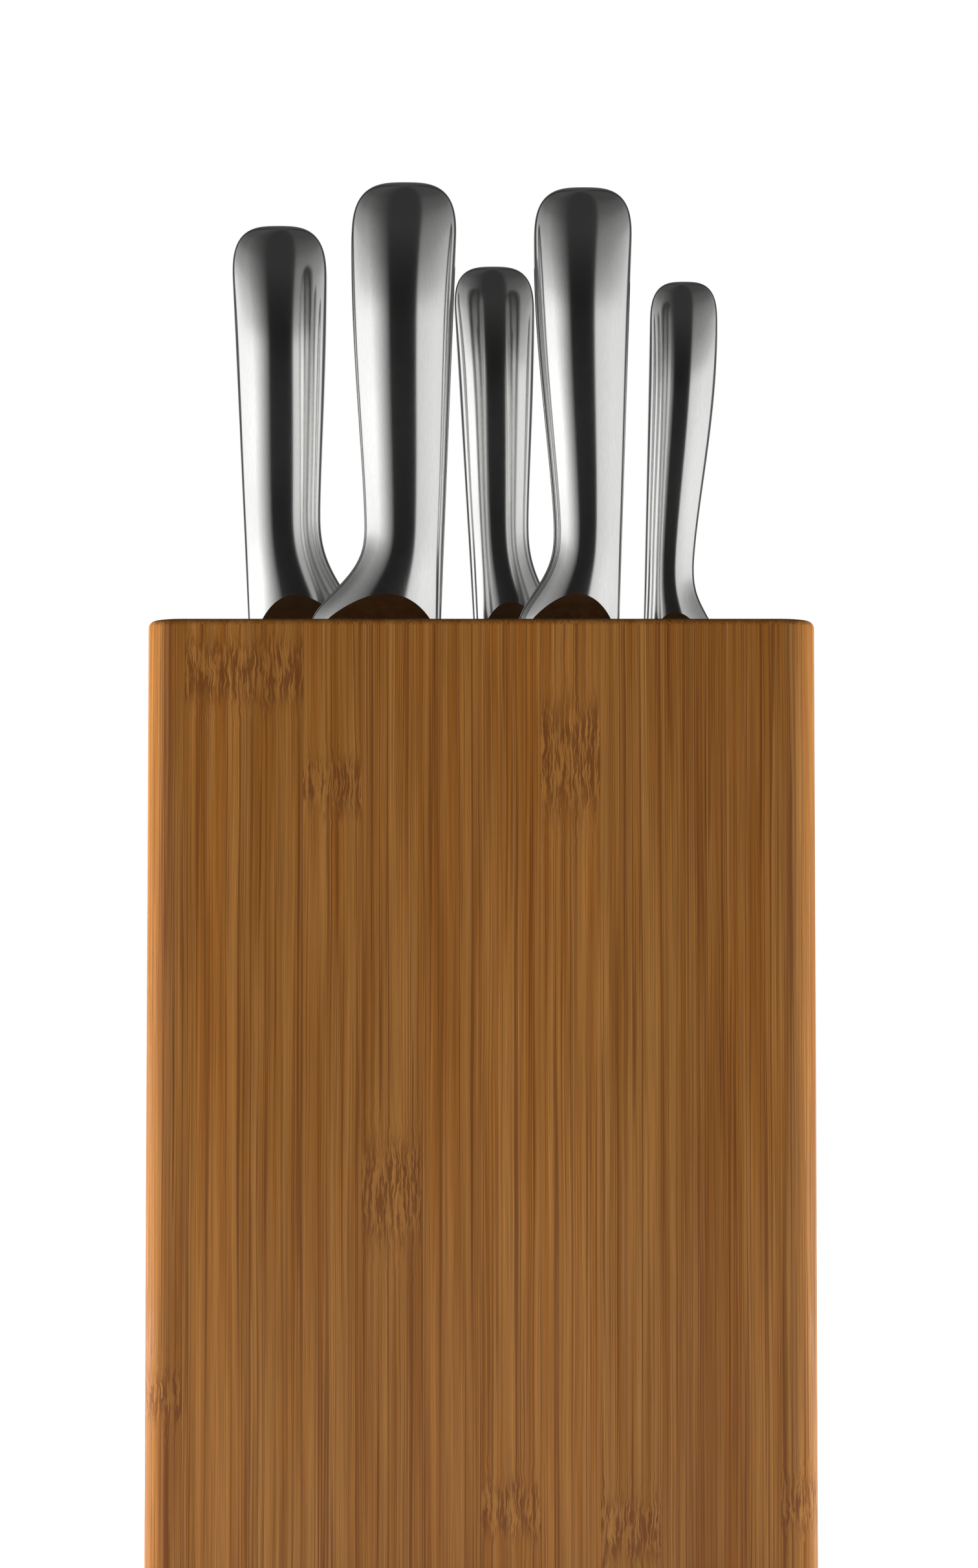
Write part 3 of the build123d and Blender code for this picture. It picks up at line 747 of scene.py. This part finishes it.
class KNIFEBLOCK_OT_boards(bpy.types.Operator):
    """Makes the six upright boards of the block"""

    bl_idname = "knife_block.boards"
    bl_label = "Boards"

    def execute(self, context):
        look = context.scene.knife_block_bamboo
        rows = {"front": box_middle("chef_knife_blade"), "back": box_middle("bread_knife_blade")}
        for node, (rounded, low_row, high_row, shift, seed) in BOARDS.items():
            low, high = (np.array(corner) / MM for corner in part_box(node))
            faces = (("low", low_row), ("high", high_row))
            spans = {face: slot_spans(rows[row]) for face, row in faces if row}
            piece = board_surface(f"{node}_wood", low[0], high[0], low[1], high[1], low[2], rounded,
                                  spans, round_foot=bool(rounded))
            eased(piece, look.arris)
            wood = bamboo_material(f"bamboo_{node}", look, shift, seed, front=node == "front_face_board")
            finish_piece(piece, wood, "block", "bamboo", node)
        return {"FINISHED"}


class KNIFEBLOCK_OT_spacers(bpy.types.Operator):
    """Makes the thin strips that keep the slots open, and gives the base plate its bamboo"""

    bl_idname = "knife_block.spacers"
    bl_label = "Spacers and Base"

    def execute(self, context):
        look = context.scene.knife_block_bamboo
        wood = bamboo_material("bamboo_spacers", look, 7.0, 9.0)
        for node in sorted(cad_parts):
            if not node.endswith("_spacer"):
                continue
            low, high = (np.array(corner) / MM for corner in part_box(node))
            ends = tuple(abs(abs(x) - HALF_WIDTH) > 0.1 for x in (low[0], high[0]))
            piece = board_surface(f"{node}_wood", low[0], high[0], low[1], high[1], low[2], ends=ends)
            eased(piece, look.arris * 0.6)
            finish_piece(piece, wood, "block", "bamboo", node)
        given_material("base_plate", bamboo_material("bamboo_base", look, 3.0, 12.0))
        return {"FINISHED"}


def box_middle(node):
    """The y of a node's middle plane, in millimetres."""
    low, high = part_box(node)
    return (low.y + high.y) / 2 / MM


class KNIFEBLOCK_OT_handles(bpy.types.Operator):
    """Makes the five hollow steel handles"""

    bl_idname = "knife_block.handles"
    bl_label = "Handles"

    def execute(self, context):
        look = context.scene.knife_block_steel
        satin = steel_material("handle_satin_steel", look.handle, look.satin, (3.0, 3.0, 0.35), 0.04, 0.02)
        for name, k in KNIVES.items():
            grid = handle_grid(k, box_middle(f"{name}_blade"), look.ring)
            piece = closed_surface(f"{name}_handle", grid, HANDLE_SHARP)
            nodes = [f"{name}_{part}" for part in ("front_shell", "back_shell", "core")]
            finish_piece(piece, satin, name, "handle_steel", *nodes)
        return {"FINISHED"}


class KNIFEBLOCK_OT_blades(bpy.types.Operator):
    """Makes the five ground blades"""

    bl_idname = "knife_block.blades"
    bl_label = "Blades"

    def execute(self, context):
        look = context.scene.knife_block_steel
        ground = steel_material("blade_ground_steel", look.blade, 0.27, (0.35, 3.0, 6.0), 0.14, 0.25)
        for name, k in KNIVES.items():
            grid = blade_grid(k, box_middle(f"{name}_blade"))
            piece = closed_surface(f"{name}_blade_steel", grid, BLADE_SHARP)
            finish_piece(piece, ground, name, "blade_steel", f"{name}_blade")
        return {"FINISHED"}


class KNIFEBLOCK_OT_feet(bpy.types.Operator):
    """Finishes the rubber feet and the screws"""

    bl_idname = "knife_block.feet"
    bl_label = "Feet and Screws"

    def execute(self, context):
        rubber = rubber_material()
        zinc = steel_material("screw_zinc", (0.52, 0.52, 0.50), 0.36, (2.0, 2.0, 2.0), 0.2, 0.3)
        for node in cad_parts:
            if node.startswith("foot_") and node != "foot_screws":
                given_material(node, rubber)
        for node in ("base_screws", "foot_screws"):
            given_material(node, zinc)
        return {"FINISHED"}


def profile_ramp(t, value, stops):
    """A ramp over (place, brightness) stops."""
    ramp = t.node("ShaderNodeValToRGB")
    ramp.color_ramp.interpolation = "LINEAR"
    points = ramp.color_ramp.elements
    for i, (at, light) in enumerate(stops):
        point = points[i] if i < 2 else points.new(at)
        point.position = at
        point.color = (light, light, light, 1.0)
    t.feed(ramp.inputs[0], value)
    return ramp.outputs[0]


def around(degrees):
    """A compass direction as a place on a ramp: 0.5 is towards the camera, and more is to its right."""
    return 0.5 + degrees / 360


def horizon(degrees):
    """An angle above the horizon as a place on a ramp."""
    return 0.5 + degrees / 180


def studio_world():
    """Two soft panels left and right of the camera, with a dark gap between them and a dark ceiling.

    Above the horizon the left panel fades towards the gap and the right one ends sharply. Below it the
    left panel is brighter. The camera itself sees plain white behind the block.
    """
    world = bpy.data.worlds.new("soft_studio")
    world.use_nodes = True
    world.node_tree.nodes.clear()
    t = Tree(world.node_tree)
    way = t.node("ShaderNodeSeparateXYZ", {0: t.node("ShaderNodeTexCoord").outputs["Generated"]}).outputs
    turn = t.math("ARCTAN2", way[0], t.math("MULTIPLY", way[1], -1.0))
    compass = t.math("MULTIPLY_ADD", turn, 0.5 / pi, 0.5)
    rise = t.math("MULTIPLY_ADD", t.math("ARCSINE", way[2]), 1 / pi, 0.5)
    raised = profile_ramp(t, compass, (
        (0.0, 0.95), (around(-156), 0.95), (around(-150), 0.10), (around(-124), 0.10),
        (around(-118), 1.3), (around(-55), 1.3), (around(-36), 0.75), (around(-20), 0.18),
        (around(-17), 0.008), (around(17), 0.008), (around(19), 0.84), (around(60), 1.0),
        (around(118), 1.0), (around(124), 0.10), (around(150), 0.10), (around(156), 0.95),
    ))
    level = profile_ramp(t, compass, (
        (0.0, 0.95), (around(-156), 0.95), (around(-150), 0.10), (around(-124), 0.10),
        (around(-118), 1.9), (around(-50), 1.9), (around(-34), 0.8), (around(-20), 0.16),
        (around(-17), 0.008), (around(17), 0.008), (around(19), 0.85), (around(40), 1.1),
        (around(118), 1.1), (around(124), 0.10), (around(150), 0.10), (around(156), 0.95),
    ))
    panels = t.mix(t.span(rise, horizon(-3), horizon(4)), level, raised)
    tall = profile_ramp(t, rise, (
        (0.0, 1.0), (horizon(7), 1.0), (horizon(9), 0.88), (horizon(12), 0.60), (horizon(20), 0.33),
        (horizon(40), 0.11), (horizon(60), 0.04), (1.0, 0.03),
    ))
    lit = t.mix(1.0, panels, tall, "MULTIPLY")
    haze = t.span(rise, horizon(8), horizon(35), 0.006, 0.04)
    studio = t.node("ShaderNodeBackground", {"Color": t.mix(1.0, lit, haze, "ADD")})
    white = t.node("ShaderNodeBackground", {"Color": (1.0, 1.0, 1.0, 1.0)})
    ray = t.node("ShaderNodeLightPath").outputs
    either = {0: ray["Is Camera Ray"], 1: studio.outputs[0], 2: white.outputs[0]}
    seen = t.node("ShaderNodeMixShader", either)
    t.node("ShaderNodeOutputWorld", {"Surface": seen.outputs[0]})
    return world


def soft_lamp(name, place, turn, size, energy):
    """An area lamp that lights the wood and the floor but does not show in the steel."""
    lamp = bpy.data.lights.new(name, "AREA")
    lamp.shape = "RECTANGLE"
    lamp.size, lamp.size_y = size
    lamp.energy = energy
    hung = bpy.data.objects.new(name, lamp)
    hung.location = place
    hung.rotation_euler = turn
    hung.visible_glossy = False
    hung.visible_camera = False
    bpy.context.scene.collection.objects.link(hung)


class KNIFEBLOCK_OT_stage(bpy.types.Operator):
    """Sets up the pale floor, the soft light and the camera"""

    bl_idname = "knife_block.stage"
    bl_label = "Stage"

    def execute(self, context):
        studio = context.scene.knife_block_studio
        scene = context.scene
        turn = np.linspace(0, 2 * pi, 96, endpoint=False)
        radii = np.array([FLOOR_RADIUS, FLOOR_RADIUS])
        levels = np.array([-FLOOR_THICKNESS, -FLOOR_DROP])
        grid = np.stack([radii[:, None] * np.cos(turn), radii[:, None] * np.sin(turn),
                         np.broadcast_to(levels[:, None], (2, 96))], axis=2)
        floor = closed_surface("studio_floor", grid)
        t, shader, paint = new_material("floor_paint")
        cloud = t.noise(t.node("ShaderNodeTexCoord").outputs["Object"], 3.0, 3.0)
        shader.inputs["Specular IOR Level"].default_value = 0.2
        shader.inputs["Emission Color"].default_value = (1.0, 1.0, 1.0, 1.0)
        shader.inputs["Emission Strength"].default_value = studio.floor_glow
        pale = (*studio.floor, 1.0)
        patches = t.span(cloud, 0.3, 0.7)
        t.feed(shader.inputs["Base Color"], t.mix(patches, pale, (0.91, 0.91, 0.905, 1.0)))
        t.feed(shader.inputs["Roughness"], t.span(cloud, 0.3, 0.7, 0.6, 0.7))
        floor.data.materials.append(paint)
        scene.world = studio_world()
        lean = (radians(-14), radians(-9), 0)
        soft_lamp("overhead_soft_light", OVERHEAD_PLACE, lean, OVERHEAD_SIZE, OVERHEAD_ENERGY)
        for degrees, energy in SIDE_LAMPS:
            angle = radians(degrees)
            reach = SIDE_LAMP_DISTANCE
            place = (reach * sin(angle), -reach * cos(angle), SIDE_LAMP_HEIGHT)
            soft_lamp("side_soft_light", place, (pi / 2, 0, angle), SIDE_LAMP_SIZE, energy)
        optics = bpy.data.cameras.new("camera")
        optics.lens = studio.lens
        optics.sensor_width = 36.0
        optics.clip_end = 100.0
        camera = bpy.data.objects.new("camera", optics)
        camera.location = (studio.eye_side, FACE_LOW[1] * MM - studio.distance, studio.eye_height)
        camera.rotation_euler = (pi / 2 + studio.pitch, 0.0, 0.0)
        scene.collection.objects.link(camera)
        scene.camera = camera
        scene.view_settings.view_transform = "Standard"
        return {"FINISHED"}


STEPS = (
    KNIFEBLOCK_OT_boards,
    KNIFEBLOCK_OT_spacers,
    KNIFEBLOCK_OT_handles,
    KNIFEBLOCK_OT_blades,
    KNIFEBLOCK_OT_feet,
    KNIFEBLOCK_OT_stage,
)
GROUPS = {
    "knife_block_bamboo": BambooSettings,
    "knife_block_steel": SteelSettings,
    "knife_block_studio": StudioSettings,
}


class KNIFEBLOCK_PT_panel(bpy.types.Panel):
    """Lists the settings and the steps"""

    bl_idname = "KNIFEBLOCK_PT_panel"
    bl_label = "Knife Block"
    bl_space_type = "VIEW_3D"
    bl_region_type = "UI"
    bl_category = "Knife Block"

    def draw(self, context):
        for holder, group in GROUPS.items():
            box = self.layout.box()
            for key in group.__annotations__:
                box.prop(getattr(context.scene, holder), key)
        for step in STEPS:
            self.layout.operator(step.bl_idname)


def register():
    for holder, group in GROUPS.items():
        bpy.utils.register_class(group)
        setattr(bpy.types.Scene, holder, bpy.props.PointerProperty(type=group))
    for made in (*STEPS, KNIFEBLOCK_PT_panel):
        bpy.utils.register_class(made)


def unregister():
    for made in (KNIFEBLOCK_PT_panel, *reversed(STEPS)):
        bpy.utils.unregister_class(made)
    for holder, group in GROUPS.items():
        delattr(bpy.types.Scene, holder)
        bpy.utils.unregister_class(group)


def main():
    register()
    for step in STEPS:
        group, action = step.bl_idname.split(".")
        getattr(getattr(bpy.ops, group), action)()


if __name__ == "__main__":
    main()
